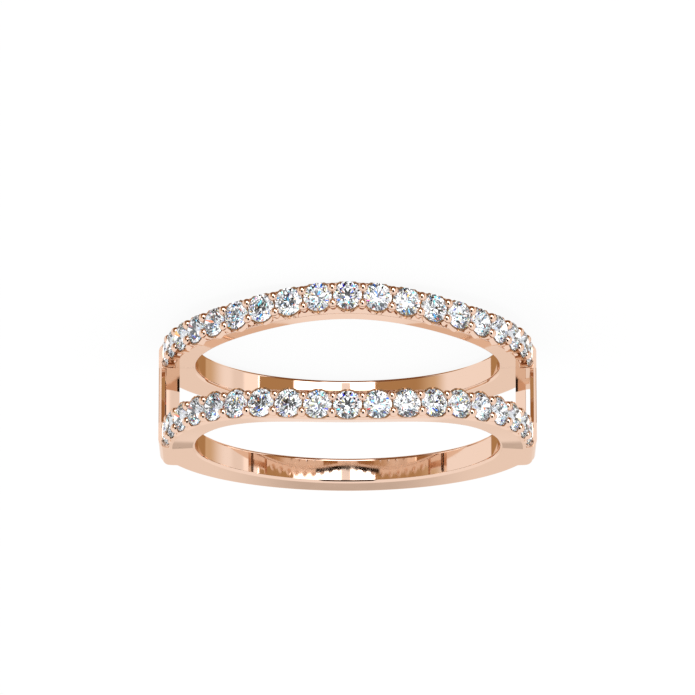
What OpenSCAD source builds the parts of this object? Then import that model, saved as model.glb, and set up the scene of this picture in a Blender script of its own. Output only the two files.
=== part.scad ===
// Half eternity ring guard: two round bands side by side, joined by a pierced bridge at each side,
// with a row of round brilliants on the front half of each band. Millimetres.
// The finger axis is Z, the origin is the middle of the finger hole, and the stones face -Y.

/* [Finger hole] */
// Inner diameter of both bands
finger_d = 17.3; // [15.7:0.1:19.8]

/* [Bands] */
// Thickness of the plain back of a band, from the finger hole outwards
shank_t = 2.1; // [1.8:0.05:2.4]
// Half of the open gap between the two bands at the sides and the back
gap_half = 1.6; // [1.3:0.05:2]
// Width of a band along the finger, at the sides and the back
band_w = 1.47; // [1.4:0.01:1.55]
// Width of a band along the finger, in the middle of the front
band_front_w = 1.6; // [1.5:0.01:1.65]
// How far the middle of each front bows away from the gap
bow = 0.81; // [0:0.01:1.2]
// Spread of the bow round the ring, in degrees
bow_spread = 33; // [28:1:38]

/* [Stones] */
// Number of stones in each row
stones_per_row = 19; // [15:2:19]
// Diameter of each round brilliant
stone_d = 1.6; // [1.4:0.05:1.6]
// Clear width between neighbouring stones
stone_gap = 0.08; // [0.07:0.01:0.15]
// Table width as a share of the stone's diameter
table_share = 0.57; // [0.53:0.01:0.62]

/* [Setting] */
// Radius of the bead at the end of each prong
bead_r = 0.26; // [0.2:0.01:0.28]
// Distance of each bead from the middle line of its row
bead_out = 0.45; // [0.42:0.01:0.5]
// How far the setting rail reaches past its row's middle line, towards the gap
rail_in = 0.9; // [0.86:0.01:0.95]
// How far it reaches past that line on the other side
rail_out = 0.84; // [0.84:0.01:0.9]

/* [Side bridges] */
// Thickness of each side bridge
bridge_t = 0.36; // [0.3:0.02:0.5]
// Half height of the window in each side bridge
window_half = 1.4; // [1:0.05:1.45]

/* [Hidden] */
$fn = 96;
// Small clearance between a stone and its metal
fit = 0.02;
finger_r = finger_d / 2;
back_r = finger_r + shank_t;
// Radii of the girdles, of the rail's top and foot, and of the bead centres
girdle_r = back_r - 0.47;
rail_top_r = girdle_r - 0.04;
rail_foot_r = girdle_r - 0.45;
bead_ring_r = girdle_r + 0.07;
// Middle of a plain band, along the finger
side_z = gap_half + band_w / 2;
// Angle from one stone to the next, along a row
pitch = (stone_d + stone_gap) / girdle_r * 180 / PI;
last = (stones_per_row - 1) / 2;
// The front half ends in a squared shoulder, whose flat side and end these places give
flat_x = back_r + 0.03;
shoulder_front_y = 0.05;
shoulder_end_y = 4.35;
shoulder_corner_r = 0.8;
// Rounding of the shoulders and bridges as seen from the front
flank_corner_r = 0.5;
// Taller than the whole ring, and wider than a bridge, for shapes that are cut to size
ring_tall = 12;
bridge_wide = 2;
// Thickness of a bridge where it follows the shoulder's end, and how deep it reaches into each band
bridge_end_t = 1.6 * bridge_t;
bridge_lap = 0.1;
// The window's front edge, and the back edge of the one on +X, which is closed behind
window_front_y = 0.6;
window_back_y = 3;
post_outer_x = 10.25 / 10.75 * back_r;
post_inner_x = 9.68 / 10.75 * back_r;
// Share of the bow at the finger hole, where a band bows less than its stones
inner_bow_share = 0.82;
// Each profile of the bow is drawn with this many straight steps
bow_steps = 48;

// Stone proportions, as shares of its diameter
crown_h = 0.155 * stone_d;
girdle_h = 0.035 * stone_d;
pavilion_h = 0.43 * stone_d;
culet_hole_r = 0.28;
// Each stone is set with the line between two of its eight kite facets square to its row
stone_turn = 22.5;

// Share of the full bow at an angle from the front
function bow_share(angle) = exp(-pow(angle / bow_spread, 2));

// Height of a row's middle line at an angle from the front
function row_z(angle) = side_z + bow * bow_share(angle);

// Slope of that line, in degrees
function row_slope(angle) = atan((row_z(angle + 0.1) - row_z(angle - 0.1)) / (0.2 * PI / 180 * girdle_r));

// One edge of a bowed band in front view: its height at the sides, and how far it rises in the middle
function bow_edge(side_height, rise) = [
    for (i = [0:bow_steps]) let (x = (2 * i / bow_steps - 1) * bead_ring_r)
        [x, side_height + rise * bow_share(asin(x / bead_ring_r))]
];

module tube(outer_r, inner_r, height) {
    difference() {
        cylinder(r = outer_r, h = height, center = true);
        cylinder(r = inner_r, h = height + 1, center = true);
    }
}

// Front half of a band between two radii and two bowed edges, the one by the gap and the other
module bowed_front(outer_r, inner_r, gap_edge, far_edge) {
    intersection() {
        tube(outer_r, inner_r, ring_tall);
        rotate([90, 0, 0]) linear_extrude(back_r + 1)
            polygon(concat(far_edge, [for (i = [bow_steps:-1:0]) gap_edge[i]]));
    }
}

// Plan of the squared shoulder on one side, filled in to the finger hole
module shoulder_plan() {
    corner_x = flat_x - shoulder_corner_r;
    corner_y = shoulder_end_y - shoulder_corner_r;
    length = shoulder_end_y - shoulder_front_y;
    translate([finger_r, shoulder_front_y]) square([corner_x - finger_r, length]);
    translate([finger_r, shoulder_front_y]) square([flat_x - finger_r, length - shoulder_corner_r]);
    translate([corner_x, corner_y]) circle(r = shoulder_corner_r);
}

// Plain back half of a band with its two squared shoulders
module plain_back() {
    translate([0, 0, gap_half]) linear_extrude(band_w) difference() {
        union() {
            intersection() {
                circle(r = back_r);
                translate([-back_r, 0]) square([2 * back_r, back_r]);
            }
            shoulder_plan();
            mirror([1, 0]) shoulder_plan();
        }
        circle(r = finger_r);
    }
}

// Keeps what lies within the rounded outline of the ring's flanks as seen from the front
module round_flanks() {
    half_h = gap_half + band_w;
    intersection() {
        children();
        rotate([90, 0, 0]) linear_extrude(3 * back_r, center = true) {
            square([2 * flat_x, 2 * (half_h - flank_corner_r)], center = true);
            square([2 * (flat_x - flank_corner_r), 2 * half_h], center = true);
            for (x = [-1, 1], z = [-1, 1])
                translate([x * (flat_x - flank_corner_r), z * (half_h - flank_corner_r)])
                    circle(r = flank_corner_r);
        }
    }
}

// Thin wall that follows the shoulder's outer side and end
module bridge_plan() {
    intersection() {
        difference() {
            shoulder_plan();
            translate([-bridge_t, -bridge_end_t]) shoulder_plan();
            circle(r = finger_r + 1);
        }
        translate([post_inner_x, shoulder_front_y]) square([bridge_wide, shoulder_end_y - shoulder_front_y]);
    }
}

// Pierced bridge between the two bands on the +X side, with its window cut back to a given place
module bridge(window_end_y, window_inner_x) {
    difference() {
        translate([0, 0, -gap_half - bridge_lap]) linear_extrude(2 * (gap_half + bridge_lap)) bridge_plan();
        translate([window_inner_x, window_front_y, -window_half])
            cube([bridge_wide, window_end_y - window_front_y, 2 * window_half]);
    }
}

// Puts a child at an angle on a row, square to the row's line, with its Z axis pointing outwards
module on_row(angle, radius, across = 0) {
    rotate([0, 0, angle]) translate([0, -radius, row_z(angle)])
        rotate([90, 0, 0]) rotate([0, 0, row_slope(angle)]) translate([0, across, 0]) children();
}

// Room for one stone: pavilion, girdle and crown with a small clearance, and the hole under the culet
module seat() {
    cylinder(r = culet_hole_r, h = 2 * (girdle_r - finger_r), center = true);
    rotate_extrude() polygon([
        [0, -pavilion_h - girdle_h / 2 - fit * 2],
        [stone_d / 2 + fit, -girdle_h / 2 - fit],
        [stone_d / 2 + fit, girdle_h / 2 + fit],
        [table_share * stone_d / 2 + fit, crown_h + girdle_h / 2 + fit],
        [0, crown_h + girdle_h / 2 + fit]
    ]);
}

// One band of the pair, on the +Z side of the gap
module band() {
    inner_rise = inner_bow_share * bow;
    extra = (band_front_w - band_w) / 2;
    difference() {
        union() {
            bowed_front(rail_foot_r + 0.1, finger_r,
                bow_edge(gap_half, inner_rise - extra),
                bow_edge(gap_half + band_w, inner_rise + extra));
            bowed_front(rail_top_r, rail_foot_r,
                bow_edge(side_z - rail_in, bow),
                bow_edge(side_z + rail_out, bow));
            round_flanks() plain_back();
            for (i = [-last - 0.5:last + 0.5], side = [-1, 1])
                on_row(i * pitch, bead_ring_r, side * bead_out) sphere(r = bead_r);
        }
        for (i = [-last:last]) on_row(i * pitch, girdle_r) seat();
    }
}

module double_band() {
    color([0.92, 0.74, 0.64]) {
        band();
        mirror([0, 0, 1]) band();
        bridge(window_back_y, flat_x - bridge_t * 2);
        mirror([1, 0, 0]) bridge(shoulder_end_y + 1, post_outer_x);
    }
}

// Points of a ring of eight or sixteen corners at a radius and height, from a start angle
function ring_points(count, radius, height, start = 0) =
    [for (i = [0:count - 1]) [radius * cos(start + i * 360 / count), radius * sin(start + i * 360 / count), height]];

// Round brilliant with its girdle's middle at the origin: table, stars, kites, halves, girdle and pavilion
module brilliant() {
    r = stone_d / 2;
    table_r = table_share * r;
    top = girdle_h / 2;
    star_r = (table_r + r) / 2;
    star_h = top + crown_h * (r - star_r * cos(22.5)) / (r - table_r);
    lower_r = 0.24 * r;
    lower_h = -top - pavilion_h * (1 - lower_r * cos(22.5) / r);
    points = concat(
        ring_points(8, table_r, top + crown_h),
        ring_points(8, star_r, star_h, 22.5),
        ring_points(16, r, top),
        ring_points(16, r, -top),
        ring_points(8, lower_r, lower_h, 22.5),
        [[0, 0, -top - pavilion_h]]
    );
    star = 8;
    upper = 16;
    lower = 32;
    half = 48;
    culet = 56;
    faces = concat(
        [[for (i = [7:-1:0]) i]],
        [for (i = [0:7]) [i, (i + 1) % 8, star + i]],
        [for (i = [0:7]) [i, star + i, upper + 2 * i, star + (i + 7) % 8]],
        [for (i = [0:7]) [star + i, upper + 2 * i + 1, upper + 2 * i]],
        [for (i = [0:7]) [star + i, upper + (2 * i + 2) % 16, upper + 2 * i + 1]],
        [for (i = [0:15]) [upper + i, upper + (i + 1) % 16, lower + (i + 1) % 16, lower + i]],
        [for (i = [0:7]) [lower + 2 * i, lower + 2 * i + 1, half + i]],
        [for (i = [0:7]) [lower + 2 * i + 1, lower + (2 * i + 2) % 16, half + i]],
        [for (i = [0:7]) [lower + 2 * i, half + i, culet, half + (i + 7) % 8]]
    );
    polyhedron(points = points, faces = faces);
}

// Stone number i of the upper row, counted from -X to +X
module stone(i) {
    color([0.93, 0.95, 0.98]) on_row((i - 1 - last) * pitch, girdle_r) rotate([0, 0, stone_turn]) brilliant();
}

double_band();
for (i = [1:stones_per_row]) {
    stone(i);
    mirror([0, 0, 1]) stone(i);
}
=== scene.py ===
"""A polished rose gold ring guard: two round bands side by side, joined by a pierced bridge at each side,
with a row of round brilliants held by shared beads on the front half of each band. Metres; the finger
axis is Z, the origin is the middle of the finger hole, and the stones face -Y."""

import math

import bmesh
import bpy
from mathutils import Matrix, Vector


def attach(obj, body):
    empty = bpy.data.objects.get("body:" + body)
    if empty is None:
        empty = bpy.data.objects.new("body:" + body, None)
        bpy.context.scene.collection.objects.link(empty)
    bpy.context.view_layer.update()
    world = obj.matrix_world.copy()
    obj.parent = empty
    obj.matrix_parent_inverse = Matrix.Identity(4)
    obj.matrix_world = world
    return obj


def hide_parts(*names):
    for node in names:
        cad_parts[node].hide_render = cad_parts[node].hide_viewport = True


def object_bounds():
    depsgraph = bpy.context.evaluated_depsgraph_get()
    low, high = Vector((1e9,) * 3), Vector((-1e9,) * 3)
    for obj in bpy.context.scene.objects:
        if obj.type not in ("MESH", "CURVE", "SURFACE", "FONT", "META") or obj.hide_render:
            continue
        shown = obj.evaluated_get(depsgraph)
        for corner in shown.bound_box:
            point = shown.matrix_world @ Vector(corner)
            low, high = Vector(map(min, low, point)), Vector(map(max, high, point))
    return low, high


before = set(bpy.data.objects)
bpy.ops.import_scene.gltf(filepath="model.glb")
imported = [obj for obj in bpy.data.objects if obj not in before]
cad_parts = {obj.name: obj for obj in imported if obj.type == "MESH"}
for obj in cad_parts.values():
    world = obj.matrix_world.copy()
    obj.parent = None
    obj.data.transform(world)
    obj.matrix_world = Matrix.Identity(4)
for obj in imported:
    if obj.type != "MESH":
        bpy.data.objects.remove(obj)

cad_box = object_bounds()
scene = bpy.context.scene


# The view. The photograph looks up at the ring from 14 degrees below the plane between its bands. Here the
# ring lies on a floor, turned over, so the camera looks down by the same angle and is rolled half a turn.
view_tilt = math.radians(14.16)
view_distance = 0.4
picture_size = 695
ring_middle_px = (347.6, 395.08)

camera_data = bpy.data.cameras.new("camera")
camera_data.sensor_width = 36
camera_data.lens = 363.3
camera_data.shift_x = (picture_size / 2 - ring_middle_px[0]) / picture_size
camera_data.shift_y = (ring_middle_px[1] - picture_size / 2) / picture_size
camera_data.clip_start = 0.05
camera_data.clip_end = 20
camera = bpy.data.objects.new("camera", camera_data)
towards_camera = Vector((0, -math.cos(view_tilt), math.sin(view_tilt)))
picture_right = Vector((-1, 0, 0))
picture_up = towards_camera.cross(picture_right)
camera.matrix_world = Matrix.Translation(towards_camera * view_distance) @ Matrix(
    (picture_right, picture_up, towards_camera)).transposed().to_4x4()
scene.collection.objects.link(camera)
scene.camera = camera


# The front bands. Each is a bowed bar of 18 carat rose gold, cast with a round cup for every stone over a
# hole to the finger. Four round-headed prongs stand at each cup, shared with its neighbours, and are pushed
# over the stones. One cell is made straight here, in millimetres, repeated, and bent round the finger.
finger_r = 8.65
girdle_r = 10.28
gap_half = 1.6
band_side = 3.07
row_side = 2.335
stones_per_row = 19
stone_pitch = 1.68
pitch_angle = stone_pitch / girdle_r
cell_slices = 12

# Sizes across a band run from the middle of its row, and sizes outwards from the stones' girdles.
to_gap_edge = 0.95
to_far_edge = 0.83
rail_top = -0.04
cup_foot = -0.45
cup_rim = 0.1
cup_r = 0.9
cup_flat = 0.8
prong_r = 0.28
prong_across = 0.451
bead_outward = 0.05
notch_r = 0.11
notch_outward = 0.02
hole_r = 0.3
seat_r = 0.96
seat_drop = 0.89
comfort_r = 0.15

# The row and the edges bow away from the gap, each by its own amount and over its own spread in degrees.
bow = 0.81
bow_spread = 33
far_edge_bow = 0.69
far_edge_spread = 39.5
gap_edge_bow = 0.56
gap_edge_spread = 38
shelf_bow = 0.61
far_strip_start = 0.5
far_strip = 0.12
gap_strip_start = 0.72
gap_strip = 0.06


def smooth_bow(angle, spread):
    """The share of a bow at an angle from the front: 1 there, falling off smoothly to both sides."""
    return math.exp(-(math.degrees(angle) / spread) ** 2)


def row_height(angle):
    """Height of a row's middle line over the plane between the bands, at an angle from the front."""
    return row_side + bow * smooth_bow(angle, bow_spread)


def row_slope(angle):
    """How steeply a row runs away from the gap, as an angle."""
    step = 0.001
    return math.atan((row_height(angle + step) - row_height(angle - step)) / (2 * step * girdle_r))


def part_way(past, width):
    """How far a point has come through a strip: 0 before it, 1 beyond it."""
    return min(max(past / width, 0), 1)


def bend_round_finger(along, across, outward):
    """Takes a point of the straight bar to its place on the upper band: along the row, across it away from
    the gap, and outwards from the girdles. The cups stay round, and the edges beside them follow the bows."""
    angle = along / stone_pitch * pitch_angle
    slope = row_slope(angle)
    radius = girdle_r + outward
    middle = row_height(angle)
    upper = part_way(radius - finger_r, girdle_r + rail_top - finger_r)
    far_edge = middle + to_far_edge * math.cos(slope)
    far_edge += (1 - upper) * (band_side + far_edge_bow * smooth_bow(angle, far_edge_spread) - far_edge)
    height = middle + across * math.cos(slope)
    far_share = part_way(across - far_strip_start, far_strip)
    height += far_share * (far_edge - middle - to_far_edge * math.cos(slope))
    from_stone = along - stone_pitch * round(along / stone_pitch)
    close = 0.002
    on_cup = abs(math.hypot(from_stone, across) - cup_r) < close
    if (outward < cup_foot + close / 2 or across < -cup_r - close) and not on_cup:
        lower = part_way(radius - finger_r, girdle_r + cup_foot - finger_r)
        gap_edge = gap_half + gap_edge_bow * smooth_bow(angle, gap_edge_spread)
        gap_edge += lower * (gap_half + shelf_bow * smooth_bow(angle, bow_spread) - gap_edge)
        gap_share = part_way(-across - gap_strip_start, gap_strip)
        height += gap_share * (gap_edge - middle + to_gap_edge * math.cos(slope))
    angle -= across * math.sin(slope) / girdle_r * upper
    return Vector((radius * math.sin(angle), -radius * math.cos(angle), height))


def everything(shape):
    return list(shape.verts) + list(shape.edges) + list(shape.faces)


def as_mesh(shape, name):
    """Turns a shape into a mesh, and lets the shape go."""
    mesh = bpy.data.meshes.new(name)
    shape.to_mesh(mesh)
    shape.free()
    return mesh


def add_copy(shape, mesh, place):
    """Adds a copy of a mesh to a shape, at its own place."""
    old = set(shape.verts)
    shape.from_mesh(mesh)
    bmesh.ops.translate(shape, verts=[v for v in shape.verts if v not in old], vec=place)


def draw_out(shape, way):
    """Draws a flat shape out into a solid bar."""
    made = bmesh.ops.extrude_face_region(shape, geom=list(shape.faces))["geom"]
    bmesh.ops.translate(shape, verts=[v for v in made if isinstance(v, bmesh.types.BMVert)], vec=way)


def bar_section(shape, corners):
    """The outline of a bar as one face across it, from places and roundings of its corners. A point beside
    each rounding keeps the flat side next to it flat."""
    beside = 0.015
    least_flat = 0.1
    points = []
    for number, (*corner, radius) in enumerate(corners):
        corner = Vector((0, *corner))
        for neighbour in (corners[number - 1], None, corners[(number + 1) % len(corners)]):
            if neighbour is None:
                points.append((corner, radius))
                continue
            side = Vector((0, *neighbour[:2])) - corner
            if radius and side.length > 2 * radius + neighbour[2] + least_flat:
                points.append((corner + side.normalized() * (radius + beside), 0))
    made = [shape.verts.new(point) for point, _ in points]
    shape.faces.new(made)
    for corner, (_, radius) in zip(made, points):
        if radius:
            bmesh.ops.bevel(shape, geom=[corner], offset=radius, segments=3, profile=0.5, affect="VERTICES",
                            material=-1)


def shape_with(block, *steps):
    """Cuts closed shapes out of a block, or joins them to it, in turn, and gives what that makes."""
    objects = []
    for shape in (block, *(tool for _, tool in steps)):
        bmesh.ops.recalc_face_normals(shape, faces=shape.faces)
        objects.append(bpy.data.objects.new("blank", as_mesh(shape, "blank")))
        scene.collection.objects.link(objects[-1])
    for (operation, _), tool in zip(steps, objects[1:]):
        step = objects[0].modifiers.new("step", "BOOLEAN")
        step.operation = operation
        step.solver = "EXACT"
        step.object = tool
    left = bmesh.new()
    left.from_object(objects[0], bpy.context.evaluated_depsgraph_get())
    for made in objects:
        mesh = made.data
        bpy.data.objects.remove(made)
        bpy.data.meshes.remove(mesh)
    return left


def straight_bar(start, length):
    """A length of the bar without its cups: a sloped shelf by the gap, a floor, and the rail behind it."""
    bar = bmesh.new()
    bore = finger_r - girdle_r
    floor_outward = cup_foot + 0.25
    bar_section(bar, (
        (-to_gap_edge, bore, comfort_r), (-to_gap_edge, cup_foot, 0.03), (-0.6, floor_outward, 0),
        (0.4, floor_outward, 0), (0.4, rail_top, 0), (to_far_edge, rail_top, 0.25),
        (to_far_edge, bore, comfort_r)))
    bmesh.ops.translate(bar, verts=bar.verts, vec=(start, 0, 0))
    draw_out(bar, (length, 0, 0))
    return bar


def turned_shape(profile, steps):
    """A solid turned on a lathe, from its radii and heights."""
    solid = bmesh.new()
    points = [solid.verts.new((radius, 0, outward)) for radius, outward in profile]
    edges = [solid.edges.new(pair) for pair in zip(points, points[1:])]
    bmesh.ops.spin(solid, geom=points + edges, cent=(0, 0, 0), axis=(0, 0, 1), angle=2 * math.pi, steps=steps,
                   use_merge=True)
    bmesh.ops.remove_doubles(solid, verts=solid.verts, dist=0.0001)
    return solid


def cup():
    """The wall of a cup, cut flush with the bar on the side away from the gap."""
    wall = turned_shape(((0, cup_foot), (cup_r, cup_foot), (cup_r, cup_rim), (0, cup_rim)), steps=64)
    cut = bmesh.ops.bisect_plane(wall, geom=everything(wall), dist=0.00001, plane_co=(0, cup_flat, 0),
                                 plane_no=(0, 1, 0), clear_outer=True)
    rim = [e for e in cut["geom_cut"] if isinstance(e, bmesh.types.BMEdge)]
    bmesh.ops.holes_fill(wall, edges=rim, sides=0)
    return wall


def prongs(places):
    """Round prongs with domed heads, in pairs at places along the bar."""
    foot = cup_foot - 0.1
    dome = [(prong_r * math.sin(math.radians(a)), bead_outward + prong_r * math.cos(math.radians(a)))
            for a in range(0, 91, 15)]
    mesh = as_mesh(turned_shape([*dome, (prong_r, foot), (0, foot)], steps=28), "prong")
    group = bmesh.new()
    for along in places:
        for across in (-prong_across, prong_across):
            add_copy(group, mesh, (along, across, 0))
    return group


def seat_and_hole():
    """The cone that the stone's lower half sits in, over a round hole to the finger."""
    through, clear = -1.9, 0.3
    return turned_shape((
        (0, through), (hole_r, through), (hole_r, hole_r - seat_drop), (seat_r, seat_r - seat_drop),
        (seat_r, clear), (0, clear)), steps=52)


def stone_room():
    """The stone's own shape and a hair more, which the prongs' heads are pushed down on."""
    return turned_shape(((0, -0.74), (0.815, -0.04), (0.815, 0.035), (0.47, 0.29), (0, 0.29)), steps=48)


def small_notch():
    """A round notch, cut with a burr in the rim of a cup where it is nearest the gap."""
    cutter = bmesh.new()
    bmesh.ops.create_cone(cutter, cap_ends=True, segments=24, radius1=notch_r, radius2=notch_r, depth=0.3)
    bmesh.ops.rotate(cutter, verts=cutter.verts, cent=(0, 0, 0), matrix=Matrix.Rotation(math.pi / 2, 3, "X"))
    bmesh.ops.translate(cutter, verts=cutter.verts, vec=(0, -cup_r, notch_outward))
    return cutter


# The turned shapes have different numbers of steps, because faces that all but meet would come out doubled.
cell = shape_with(
    straight_bar(-1, 2), ("UNION", cup()), ("DIFFERENCE", seat_and_hole()),
    ("UNION", prongs((-stone_pitch / 2, stone_pitch / 2))), ("DIFFERENCE", stone_room()),
    ("DIFFERENCE", small_notch()))
# What a burr has cut gets the second finish: rougher, and painted darker as painted shade in these recesses
# under the stones.
for face in cell.faces:
    along, across, outward = face.calc_center_median()
    in_notch = across < -0.7 and math.hypot(along, outward - notch_outward) < notch_r + 0.002
    in_hole = all(math.hypot(v.co.x, v.co.y) < hole_r + 0.01 for v in face.verts)
    in_seat = all(abs(v.co.z - math.hypot(v.co.x, v.co.y) + seat_drop) < 0.01 for v in face.verts)
    face.material_index = int(in_notch or in_hole or in_seat)
# The cell is cut off at half the pitch on either side, and sliced so that it can bend.
for slice_end in range(cell_slices + 1):
    place = (slice_end / cell_slices - 0.5) * stone_pitch
    bmesh.ops.bisect_plane(cell, geom=everything(cell), dist=0.00001, plane_co=(place, 0, 0),
                           plane_no=(1, 0, 0), clear_outer=slice_end == cell_slices,
                           clear_inner=slice_end == 0)
cell_mesh = as_mesh(cell, "cell")

bar = bmesh.new()
for stone in range(stones_per_row):
    add_copy(bar, cell_mesh, ((stone - (stones_per_row - 1) / 2) * stone_pitch, 0, 0))
bmesh.ops.remove_doubles(bar, verts=bar.verts, dist=0.00005)
bmesh.ops.holes_fill(bar, edges=[e for e in bar.edges if e.is_boundary], sides=0)
bmesh.ops.recalc_face_normals(bar, faces=bar.faces)
# The bar runs on past its last stones into the shoulders, where the last prongs stand.
row_half = stones_per_row / 2 * stone_pitch
for run_on in (straight_bar(-row_half - 0.3, 0.35), straight_bar(row_half - 0.05, 0.35),
               prongs((-row_half, row_half))):
    bmesh.ops.recalc_face_normals(run_on, faces=run_on.faces)
    bar.from_mesh(as_mesh(run_on, "run_on"))
for vertex in bar.verts:
    vertex.co = bend_round_finger(*vertex.co)


# All the metal is brought up on a polishing wheel. What is left of the wheel is a faint waviness and a fine
# haze that changes over the surface.
def feed(node, inputs):
    """Sets inputs of a node to plain values, or links them to the outputs of other nodes."""
    for key, value in dict(inputs).items():
        if isinstance(value, bpy.types.NodeSocket):
            node.id_data.links.new(value, node.inputs[key])
        else:
            node.inputs[key].default_value = value


def add_node(tree, kind, inputs=(), **settings):
    made = tree.nodes.new(kind)
    for name, value in settings.items():
        setattr(made, name, value)
    feed(made, inputs)
    return made


def add_noise(tree, place, scale, detail):
    return add_node(tree, "ShaderNodeTexNoise", {
        "Vector": place, "Scale": scale, "Detail": detail}).outputs[0]


def add_range(tree, value, low, high, to_low, to_high, **settings):
    return add_node(tree, "ShaderNodeMapRange", {
        "Value": value, "From Min": low, "From Max": high, "To Min": to_low, "To Max": to_high,
    }, **settings).outputs[0]


def add_math(tree, operation, *values):
    return add_node(tree, "ShaderNodeMath", enumerate(values), operation=operation).outputs[0]


def add_mix(tree, mask, colour, other_colour):
    """Mixes two colours. In a Mix node they are inputs 6 and 7, and the result is output 2."""
    return add_node(tree, "ShaderNodeMix", {
        0: mask, 6: colour, 7: other_colour}, data_type="RGBA").outputs[2]


def new_finish(name):
    """A new material, with its node tree and its shader."""
    finish = bpy.data.materials.new(name)
    finish.use_nodes = True
    return finish, finish.node_tree, finish.node_tree.nodes["Principled BSDF"]


def on_piece(tree):
    return tree.nodes.new("ShaderNodeTexCoord").outputs["Object"]


polish = bpy.data.node_groups.new("wheel_polish", "ShaderNodeTree")
polish.interface.new_socket("Vector", in_out="INPUT", socket_type="NodeSocketVector")
polish.interface.new_socket("Roughness", in_out="OUTPUT", socket_type="NodeSocketFloat")
polish.interface.new_socket("Height", in_out="OUTPUT", socket_type="NodeSocketFloat")
polish_place = polish.nodes.new("NodeGroupInput").outputs["Vector"]
haze = add_noise(polish, polish_place, scale=900, detail=3)
ripple = add_noise(polish, polish_place, scale=420, detail=1)
feed(polish.nodes.new("NodeGroupOutput"), {
    "Roughness": add_range(polish, haze, 0.3, 0.7, 0.02, 0.06), "Height": ripple})

gold, gold_tree, gold_shader = new_finish("polished_rose_gold")
gold_colour = (0.955, 0.686, 0.541, 1)
gold_painted_darker_in_reflections = (0.78, 0.62, 0.5, 1)
wheel = add_node(gold_tree, "ShaderNodeGroup", {"Vector": on_piece(gold_tree)}, node_tree=polish)
ripples = add_node(gold_tree, "ShaderNodeBump", {
    "Height": wheel.outputs["Height"], "Strength": 0.05, "Distance": 0.00002})
# Painted reflection shade: where gold is seen mirrored in gold, its colour is painted a little darker and
# less red.
mirror_depth = gold_tree.nodes.new("ShaderNodeLightPath").outputs["Glossy Depth"]
mirrored = add_math(gold_tree, "GREATER_THAN", mirror_depth, 0.5)
feed(gold_shader, {
    "Base Color": add_mix(gold_tree, mirrored, gold_colour, gold_painted_darker_in_reflections), "Metallic": 1,
    "Specular Tint": (0.99, 0.9, 0.83, 1), "Roughness": wheel.outputs["Roughness"],
    "Normal": ripples.outputs["Normal"]})

# The seats under the stones are cut with a burr and can't be polished afterwards, so they are dull. Their
# dark brown colour is painted shade for these recesses under the stones.
seat_gold_painted_shade, seat_shade_tree, seat_shade_shader = new_finish("rough_seat_gold_painted_shade")
seat_noise = add_noise(seat_shade_tree, on_piece(seat_shade_tree), scale=9000, detail=2)
feed(seat_shade_shader, {
    "Base Color": add_mix(seat_shade_tree, seat_noise, (0.72, 0.4, 0.2, 1), (0.55, 0.28, 0.13, 1)), "Metallic": 1,
    "Roughness": add_range(seat_shade_tree, seat_noise, 0.3, 0.7, 0.3, 0.5)})


def finish_metal(shape, name, turn_over=False, crease_angle=32):
    """Makes a polished piece of a shape in millimetres, over or under the gap. The shape is left as it is."""
    mesh = bpy.data.meshes.new(name)
    shape.to_mesh(mesh)
    copy = bmesh.new()
    copy.from_mesh(mesh)
    bmesh.ops.scale(copy, verts=copy.verts, vec=(0.001, 0.001, -0.001 if turn_over else 0.001))
    if turn_over:
        bmesh.ops.reverse_faces(copy, faces=copy.faces)
    copy.to_mesh(mesh)
    copy.free()
    mesh.shade_smooth()
    mesh.set_sharp_from_angle(angle=math.radians(crease_angle))
    mesh.materials.append(gold)
    piece = bpy.data.objects.new(name, mesh)
    piece.visible_transmission = False
    scene.collection.objects.link(piece)
    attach(piece, "root")
    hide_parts("double_band")
    return piece


for name, turned in (("upper_front_band", False), ("lower_front_band", True)):
    front_band = finish_metal(bar, name, turned)
    # The second material, on the seats, holes and notch, is painted dark as painted shade.
    front_band.data.materials.append(seat_gold_painted_shade)
bar.free()


# The plain backs. Each band goes on behind the row as a flat bar of the same gold, thicker than the setting,
# whose squared shoulders stand proud of the last stones. The edges by the finger are eased for comfort.
back_r = 10.75
back_edge_r = 0.06
flat_x = 10.78
shoulder_start = 0.05
shoulder_end = 4.35
shoulder_corner = 0.8
flank_round = 0.5
end_plate_r = 10.395
end_depth = 0.05


def back_reach(angle):
    """Outer radius of a band behind the front, at an angle from the front: round, with square shoulders."""
    direction = Vector((abs(math.sin(angle)), -math.cos(angle)))
    corner = Vector((flat_x - shoulder_corner, shoulder_end - shoulder_corner))
    side_reach = flat_x / max(direction.x, 1e-6)
    end_reach = shoulder_end / direction.y if direction.y > 1e-6 else 1e9
    reach = min(side_reach, end_reach)
    at_corner = direction * reach
    if at_corner.x > corner.x and at_corner.y > corner.y:
        along = direction.dot(corner)
        reach = along + math.sqrt(max(shoulder_corner ** 2 - corner.length_squared + along ** 2, 0))
    return max(reach, back_r)


# The outline gives heights, radii and roundings, with more points where the shoulders are rounded further.
# It is set up with its heights along Z, turned to where the back starts, and spun round the finger.
back = bmesh.new()
outline = [(gap_half, finger_r, comfort_r), (gap_half, back_r, back_edge_r)]
outline += [(height, back_r, 0) for height in (2.57, 2.65, 2.73, 2.81, 2.88, 2.94)]
outline += [(band_side, back_r, back_edge_r)]
outline += [(band_side, back_r - inwards, 0) for inwards in (0.13, 0.19, 0.26, 0.34, 0.42, 0.5)]
outline += [(band_side, finger_r, comfort_r)]
bar_section(back, outline)
start_angle = math.radians(90) + math.asin(shoulder_start / flat_x)
turn = 2 * math.pi - 2 * start_angle
bmesh.ops.transform(back, verts=back.verts, matrix=Matrix(((1, 0, 0), (0, 0, -1), (0, 1, 0))).to_4x4())
bmesh.ops.rotate(back, verts=back.verts, cent=(0, 0, 0), matrix=Matrix.Rotation(start_angle, 3, "Z"))
bmesh.ops.spin(back, geom=everything(back), cent=(0, 0, 0), axis=(0, 0, 1), angle=turn, steps=360,
               use_merge=False)
bmesh.ops.recalc_face_normals(back, faces=back.faces)
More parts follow.
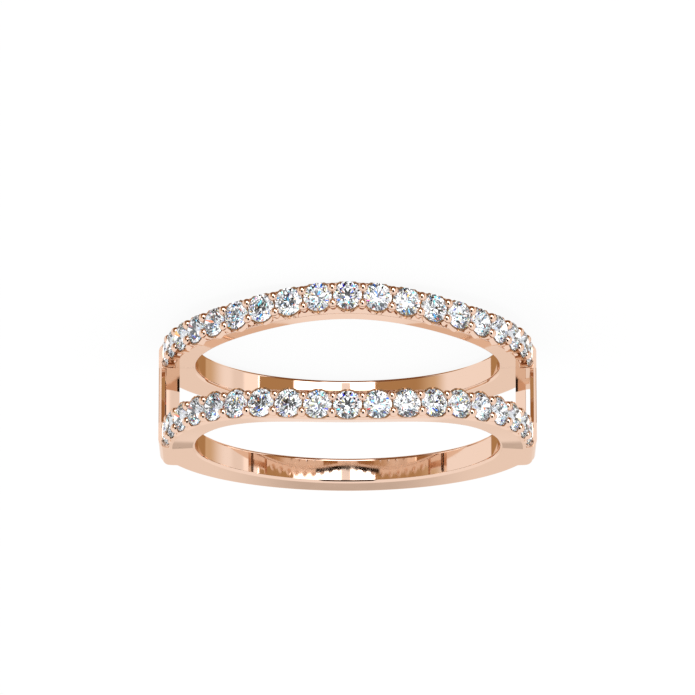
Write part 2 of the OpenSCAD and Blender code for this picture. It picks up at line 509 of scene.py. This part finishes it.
# The bridge's wall runs on over each end as a plate, so the rest of the end lies a little deeper.
for end_angle in (start_angle, start_angle + turn):
    along = Vector((math.cos(end_angle), math.sin(end_angle), 0))
    out = Vector((math.sin(end_angle), -math.cos(end_angle), 0))
    end_faces = [f for f in back.faces if all(abs(v.co.dot(along)) < 0.001 for v in f.verts)]
    bmesh.ops.bisect_plane(back, geom=end_faces + list({e for f in end_faces for e in f.edges}), dist=0.00001,
                           plane_co=out * end_plate_r, plane_no=out)
    end_faces = [f for f in back.faces if all(abs(v.co.dot(along)) < 0.001 for v in f.verts)]
    inner_part = min(end_faces, key=lambda face: face.calc_center_median().dot(out))
    bmesh.ops.inset_region(back, faces=[inner_part], thickness=0.01, depth=-end_depth)
bmesh.ops.remove_doubles(back, verts=back.verts, dist=0.0001)
bmesh.ops.recalc_face_normals(back, faces=back.faces)
# The round bar is pushed out to its square shoulders, its ends are set flat, and the outer corners rounded.
for vertex in back.verts:
    radius = math.hypot(vertex.co.x, vertex.co.y)
    angle = math.atan2(vertex.co.x, -vertex.co.y) % (2 * math.pi)
    reach = finger_r + (radius - finger_r) * (back_reach(angle) - finger_r) / (back_r - finger_r)
    x, y, height = reach * math.sin(angle), -reach * math.cos(angle), vertex.co.z
    if y < shoulder_start + 0.99 * end_depth:
        y = shoulder_start if y < shoulder_start + 0.4 * end_depth else shoulder_start + end_depth
    if y < shoulder_end + 0.1:
        past_x = (abs(x) - (flat_x - flank_round)) / flank_round
        past_z = (height - (band_side - flank_round)) / flank_round
        if past_x > 0 and past_z > 0:
            shrink = max(past_x, past_z) / math.hypot(past_x, past_z)
            x = math.copysign(flat_x - flank_round + past_x * shrink * flank_round, x)
            height = band_side - flank_round + past_z * shrink * flank_round
    vertex.co = (x, y, height)
for name, turned in (("upper_back_band", False), ("lower_back_band", True)):
    finish_metal(back, name, turned)
back.free()


# The bridges. A thin wall of gold follows the outside of each pair of shoulders and holds the bands apart.
# Its window is sawn out: closed behind on one side, and open to the wall's end on the other.
bridge_t = 0.36
bridge_end_t = 0.576
bridge_clear = 0.002
bridge_sunk = 0.05
wall_inner = 9.68
facet_start = 3.0
facet_end = (wall_inner + 0.37, 3.34)
window_front = 0.6
window_half = 1.4
window_depth = 2


def bridge_wall(side, window_back, window_inner):
    """The wall on one side, drawn as its plan between the bands, with the window cut through it."""
    wall = bmesh.new()
    outer, front = flat_x - bridge_clear, shoulder_start + bridge_clear
    # From the front edge, round the shoulder's corner to the wall's end, and back along the inside.
    plan = [(outer - bridge_t, front + 0.11), (outer - 0.16, front), (outer - 0.04, front),
            (outer - 0.012, front + 0.012), (outer, front + 0.04)]
    plan += [(outer - shoulder_corner * (1 - math.cos(a)), shoulder_end - shoulder_corner * (1 - math.sin(a)))
             for a in (math.radians(step) for step in range(0, 91, 15))]
    plan += [(wall_inner, shoulder_end), (wall_inner, shoulder_end - bridge_end_t), facet_end,
             (outer - bridge_t, facet_start)]
    wall.faces.new([wall.verts.new((x, y, -gap_half - bridge_sunk)) for x, y in plan])
    draw_out(wall, (0, 0, 2 * gap_half + 2 * bridge_sunk))
    window = bmesh.new()
    bmesh.ops.create_cube(window, size=1)
    bmesh.ops.scale(window, verts=window.verts,
                    vec=(window_depth, window_back - window_front, 2 * window_half))
    bmesh.ops.translate(window, verts=window.verts,
                        vec=(window_inner + window_depth / 2, (window_front + window_back) / 2, 0))
    wall = shape_with(wall, ("DIFFERENCE", window))
    # Its sharp edges are eased, apart from those sunk in the bands.
    sharp = [e for e in wall.edges if e.is_manifold and e.calc_face_angle() > 0.9
             and min(abs(v.co.z) for v in e.verts) < gap_half]
    bmesh.ops.bevel(wall, geom=sharp, offset=0.03, segments=2, profile=0.5, affect="EDGES", material=-1,
                    clamp_overlap=True)
    if side < 0:
        bmesh.ops.scale(wall, verts=wall.verts, vec=(-1, 1, 1))
        bmesh.ops.reverse_faces(wall, faces=wall.faces)
    return wall


for name, side, window_back, window_inner in (
        ("bridge_with_closed_window", 1, 3.0, flat_x - 2 * bridge_t),
        ("bridge_with_open_window", -1, 5.35, 10.25)):
    wall = bridge_wall(side, window_back, window_inner)
    finish_metal(wall, name, crease_angle=20)
    wall.free()


# The stones. Clear round brilliants, cut and polished on a lap, each dropped into its own seat and held by
# the beads over its edge. They are the CAD's own solids, with sharp facets, so only their finish is made.
diamond, diamond_tree, diamond_shader = new_finish("diamond")
stone_place = on_piece(diamond_tree)
lap_marks = add_noise(diamond_tree, stone_place, scale=6000, detail=2)
clouds = add_noise(diamond_tree, stone_place, scale=500, detail=1)
feed(diamond_shader, {
    "Transmission Weight": 1, "IOR": 2.42, "Specular Tint": (0.4, 0.4, 0.4, 1),
    "Base Color": add_mix(diamond_tree, clouds, (1, 1, 1, 1), (0.97, 0.98, 1, 1)),
    "Roughness": add_range(diamond_tree, lap_marks, 0.35, 0.65, 0, 0.015)})
for name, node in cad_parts.items():
    if name.startswith("stone"):
        node.data.materials.clear()
        node.data.materials.append(diamond)


# The studio. A light tent with large soft boxes stands round the ring, with brown and grey openings between
# them, which polished gold and cut stones show as reflections. The floor is plain and white.
def band_mask(tree, value, start, end, soft):
    """1 where an angle lies between two others, with a soft margin of some degrees."""
    distance = add_math(tree, "ABSOLUTE", add_math(tree, "SUBTRACT", value, (start + end) / 2))
    half = (end - start) / 2
    return add_range(tree, distance, half + soft, half - soft, 0, 1, interpolation_type="SMOOTHSTEP")


def light_group(name, ground, cards):
    """A surrounding of one brightness with cards in it, as seen in the direction of the ray. Each card lies
    over those before it. Spread turns them all by some degrees."""
    tent = bpy.data.node_groups.new(name, "ShaderNodeTree")
    tent.interface.new_socket("Spread", in_out="INPUT", socket_type="NodeSocketFloat")
    tent.interface.new_socket("Color", in_out="OUTPUT", socket_type="NodeSocketColor")
    spread = tent.nodes.new("NodeGroupInput").outputs["Spread"]
    direction = add_node(tent, "ShaderNodeSeparateXYZ", {
        "Vector": tent.nodes.new("ShaderNodeTexCoord").outputs["Generated"]})
    to_right = add_math(tent, "MULTIPLY", direction.outputs["X"], -1)
    to_front = add_math(tent, "MULTIPLY", direction.outputs["Y"], -1)
    to_top = add_math(tent, "MULTIPLY", direction.outputs["Z"], -1)
    azimuth = add_math(tent, "DEGREES", add_math(tent, "ARCTAN2", to_right, to_front))
    height = add_math(tent, "DEGREES", add_math(tent, "ARCSINE", to_top))
    azimuth = add_math(tent, "ADD", azimuth, spread)
    height = add_math(tent, "ADD", height, spread)
    colour = (*ground, 1)
    for start, end, low, high, soft, card_colour in cards:
        mask = add_math(tent, "MULTIPLY", band_mask(tent, azimuth, start, end, soft),
                        band_mask(tent, height, low, high, soft))
        colour = add_mix(tent, mask, colour, (*card_colour, 1))
    feed(tent.nodes.new("NodeGroupOutput"), {"Color": colour})
    return tent


# Each card: azimuth from and to, height from and to, softness of its sides, and colour. Degrees as the
# photograph shows them: azimuth from its camera to its right, height upwards in it. A card right behind the
# ring is given twice, once for each side of where the azimuth goes from 180 to -180.
box_white = (3.2, 3.2, 3.2)
side_white = (1.08, 1.06, 1.04)
side_grey = (0.83, 0.81, 0.79)
back_grey = (0.57, 0.54, 0.51)
low_grey = (0.84, 0.81, 0.78)
opening_tan = (0.62, 0.48, 0.31)
opening_brown = (0.42, 0.26, 0.12)
opening_deep = (0.2, 0.09, 0.03)
camera_opening = (0.02, 0.015, 0.01)
light_tent = light_group("light_tent", (0.93, 0.93, 0.93), (
    (87, 100, -8, 36, 4, side_grey),
    (73, 87, -8, 36, 2, side_white),
    (-77, -30, -8, 24, 8, opening_tan),
    (-62, -8, -8, 24, 9, opening_brown),
    (-21, -2.2, -8, 28, 0.25, box_white),
    (5, 42, -8, 28, 1, box_white),
    (-22, 22, 24, 48, 1.5, box_white),
    (42, 72, -8, 34, 1, opening_brown),
    (42, 76, 32, 66, 1, opening_deep),
    (72, 73, -8, 36, 0.3, box_white),
    (-80, -24, 26, 66, 1.5, opening_deep),
    (24, 44, 30, 66, 1.5, opening_deep),
    (120, 160, -5, 30, 13, opening_tan),
    (140, 165, -5, 30, 2, opening_brown),
    (-165, -143, -5, 30, 1, opening_brown),
    (90, 180, 40, 100, 3, opening_brown),
    (-180, -90, 40, 100, 3, opening_brown),
    (-180, 180, 52, 100, 3, opening_deep),
    (125, 180, -17, -4, 1, low_grey),
    (-180, -125, -17, -4, 1, low_grey),
    (179.28, 180.72, -14.4, -12.4, 0.43, back_grey),
    (-180.72, -179.28, -14.4, -12.4, 0.43, back_grey),
    (-22, 22, -46, 10, 1, camera_opening),
))
# The stones are lit by cards of their own, fewer and plainer, so that their facets go from clear to dark.
lamp = (1.6, 1.6, 1.6)
side_lamp = (1.4, 1.4, 1.4)
front_dark = (0.07, 0.08, 0.09)
back_dark = (0.12, 0.13, 0.14)
stone_light = light_group("stone_light", (0.74, 0.77, 0.81), (
    (-21, -1, -8, 78, 1, lamp),
    (5, 42, -8, 78, 1, lamp),
    (42, 72, -30, 50, 1, front_dark),
    (-77, -21, -30, 36, 1, front_dark),
    (-50, 50, -75, -45, 1, lamp),
    (76, 108, -25, 60, 1, side_lamp),
    (108, 150, -60, 60, 1, back_dark),
    (-118, -88, -30, 50, 1, side_lamp),
    (-165, -118, -60, 60, 1, back_dark),
    (-18, 18, -32, 4, 1, (0, 0, 0)),
))

world = bpy.data.worlds.new("studio")
scene.world = world
world.use_nodes = True
sky = world.node_tree
sky.nodes.clear()


def light_seen(group, spread):
    return add_node(sky, "ShaderNodeGroup", {"Spread": spread}, node_tree=group).outputs["Color"]


# Red, green and blue are turned apart by a degree each, in place of the way that a diamond splits light. The
# camera itself sees plain white behind the ring.
fire = add_node(sky, "ShaderNodeCombineColor", {
    name: add_node(sky, "ShaderNodeSeparateColor", {"Color": light_seen(stone_light, turned)}).outputs[name]
    for name, turned in (("Red", -1), ("Green", 0), ("Blue", 1))})
rays = sky.nodes.new("ShaderNodeLightPath")
for_light = add_mix(sky, rays.outputs["Is Transmission Ray"], light_seen(light_tent, 0), fire.outputs[0])
for_camera = add_mix(sky, rays.outputs["Is Camera Ray"], for_light, (1, 1, 1, 1))
background = add_node(sky, "ShaderNodeBackground", {"Color": for_camera})
add_node(sky, "ShaderNodeOutputWorld", {"Surface": background.outputs[0]})
scene.view_settings.view_transform = "Standard"
scene.cycles.max_bounces = 24
scene.cycles.glossy_bounces = 10
scene.cycles.transmission_bounces = 16
scene.cycles.blur_glossy = 0.2
scene.cycles.caustics_refractive = False
scene.cycles.caustics_reflective = False

# The floor touches the bowed front of the lower band and the lower edge of its plain back, so it leans.
front_contact = Vector((0, -0.0103, cad_box[0].z))
back_contact = Vector((0, back_r / 1000, -band_side / 1000))
lean = math.atan2(back_contact.z - front_contact.z, back_contact.y - front_contact.y)
sheet = bmesh.new()
bmesh.ops.create_grid(sheet, x_segments=1, y_segments=1, size=3)
bmesh.ops.transform(sheet, verts=sheet.verts,
                    matrix=Matrix.Translation(front_contact) @ Matrix.Rotation(lean, 4, "X"))
floor = bpy.data.objects.new("floor", as_mesh(sheet, "floor"))
scene.collection.objects.link(floor)
floor.visible_glossy = False
floor.visible_transmission = False
paper, _, paper_shader = new_finish("white_paper")
feed(paper_shader, {
    "Base Color": (0.08, 0.08, 0.08, 1), "Roughness": 0.9, "Specular IOR Level": 0,
    "Emission Color": (1, 1, 1, 1), "Emission Strength": 0.94})
floor.data.materials.append(paper)
